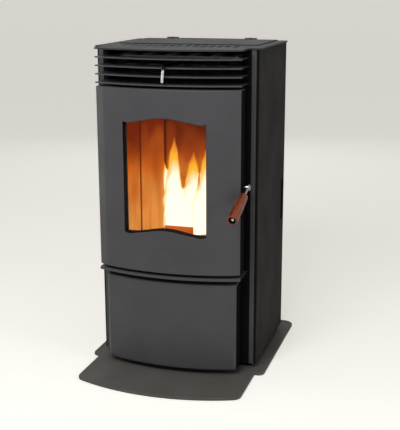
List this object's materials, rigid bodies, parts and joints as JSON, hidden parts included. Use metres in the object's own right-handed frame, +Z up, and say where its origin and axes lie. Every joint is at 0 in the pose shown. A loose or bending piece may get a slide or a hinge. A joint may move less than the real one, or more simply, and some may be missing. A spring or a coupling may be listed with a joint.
{
  "type": "pellet stove",
  "caption": "Free-standing wood-pellet stove with a bowed charcoal door, arched window, louvred warm-air outlet, wooden lever latch, ash drawer and hearth base plate.",
  "frame": {"origin": "on the floor, under the middle of the cabinet's front plane, on the hearth base's underside", "axes": "+X to the viewer's right, +Y from the front towards the back, +Z up"},
  "size_m": [0.508, 0.633, 0.8943],
  "materials": {
    "charcoal_paint": "satin charcoal heat-proof paint",
    "top_paint": "satin grey heat-proof paint",
    "hearth_paint": "satin warm grey paint",
    "black_paint": "matt black heat-proof paint",
    "side_paint": "satin dark grey paint",
    "firebox_iron": "matt, heat-stained",
    "firebrick": "matt, unglazed",
    "plain_steel": "plain sheet steel",
    "chrome": "polished plating",
    "motor_paint": "semi-gloss",
    "black_plastic": "matt moulded",
    "rope": "braided glass-fibre rope",
    "ceramic_glass": "clear heat-proof glass",
    "wood": "turned and lacquered"
  },
  "bodies": {
    "stove": {"hearth_base": "hearth_paint", "plinth": "black_paint", "cabinet_floor": "black_paint", "side_panel_left": "side_paint", "side_panel_right": "side_paint", "front_fascia": "black_paint", "rear_panel": "side_paint", "top_plate": "top_paint", "grille_louvre_1": "charcoal_paint", "grille_louvre_2": "charcoal_paint", "grille_louvre_3": "charcoal_paint", "grille_sill": "charcoal_paint", "trim_ledge": "top_paint", "firebox_shell": "firebox_iron", "firebox_mouth": "black_paint", "liner_left": "firebrick", "liner_right": "firebrick", "liner_back": "firebrick", "baffle_plate": "firebox_iron", "burn_pot": "firebox_iron", "igniter": "plain_steel", "flueway": "firebox_iron", "heat_exchanger": "plain_steel", "hopper": "plain_steel", "auger_tube": "plain_steel", "auger_motor": "motor_paint", "feed_chute": "plain_steel", "exhaust_housing": "plain_steel", "exhaust_motor": "motor_paint", "flue_collar": "plain_steel", "air_intake_pipe": "plain_steel", "convection_housing": "plain_steel", "convection_motor": "motor_paint", "power_inlet": "black_plastic", "control_box": "black_plastic", "hinge_bracket_lower": "plain_steel", "hinge_bracket_upper": "plain_steel", "latch_catch": "plain_steel", "lid_hinge": "plain_steel", "drawer_runner_left": "plain_steel", "drawer_runner_right": "plain_steel"},
    "door": {"door_shell": "charcoal_paint", "door_frame": "black_paint", "rope_seal": "rope", "window_glass": "ceramic_glass", "glass_retainer": "plain_steel", "hinge_eye_lower": "plain_steel", "hinge_eye_upper": "plain_steel"},
    "latch": {"latch_grip": "wood", "grip_screw": "plain_steel", "latch_cam": "plain_steel", "latch_lever": "chrome"},
    "lid": {"hopper_lid": "top_paint"},
    "drawer": {"drawer_front": "charcoal_paint", "ash_pan": "plain_steel"},
    "scraper": {"scraper_plate": "plain_steel", "scraper_rod": "chrome"},
    "auger": {"auger_screw": "plain_steel"},
    "exhaust_fan": {"exhaust_wheel": "plain_steel"},
    "convection_fan": {"convection_wheel": "plain_steel"}
  },
  "joints": [
    {"name": "door_hinge", "type": "hinge", "parent": "stove", "child": "door", "pos_m": [-0.2, -0.018, 0.544], "axis": [0, 0, -1], "range_deg": [0, 110]},
    {"name": "latch_turn", "type": "hinge", "parent": "door", "child": "latch", "pos_m": [0.1985, -0.048, 0.5335], "axis": [-1, 0, 0], "range_deg": [0, 60]},
    {"name": "lid_hinge_turn", "type": "hinge", "parent": "stove", "child": "lid", "pos_m": [0, 0.332, 0.8913], "axis": [-1, 0, 0], "range_deg": [0, 80]},
    {"name": "drawer_slide", "type": "slide", "parent": "stove", "child": "drawer", "axis": [0, -1, 0], "range_m": [0, 0.18]},
    {"name": "scraper_slide", "type": "slide", "parent": "stove", "child": "scraper", "axis": [0, -1, 0], "range_m": [0, 0.1]},
    {"name": "auger_turn", "type": "hinge", "parent": "stove", "child": "auger", "pos_m": [0.118, 0.275, 0.56], "axis": [-0.6675, 0, 0.7446], "continuous": true},
    {"name": "exhaust_fan_turn", "type": "hinge", "parent": "stove", "child": "exhaust_fan", "pos_m": [-0.095, 0.26, 0.19], "axis": [0, 1, 0], "continuous": true},
    {"name": "convection_fan_turn", "type": "hinge", "parent": "stove", "child": "convection_fan", "pos_m": [0.095, 0.275, 0.14], "axis": [1, 0, 0], "continuous": true}
  ]
}
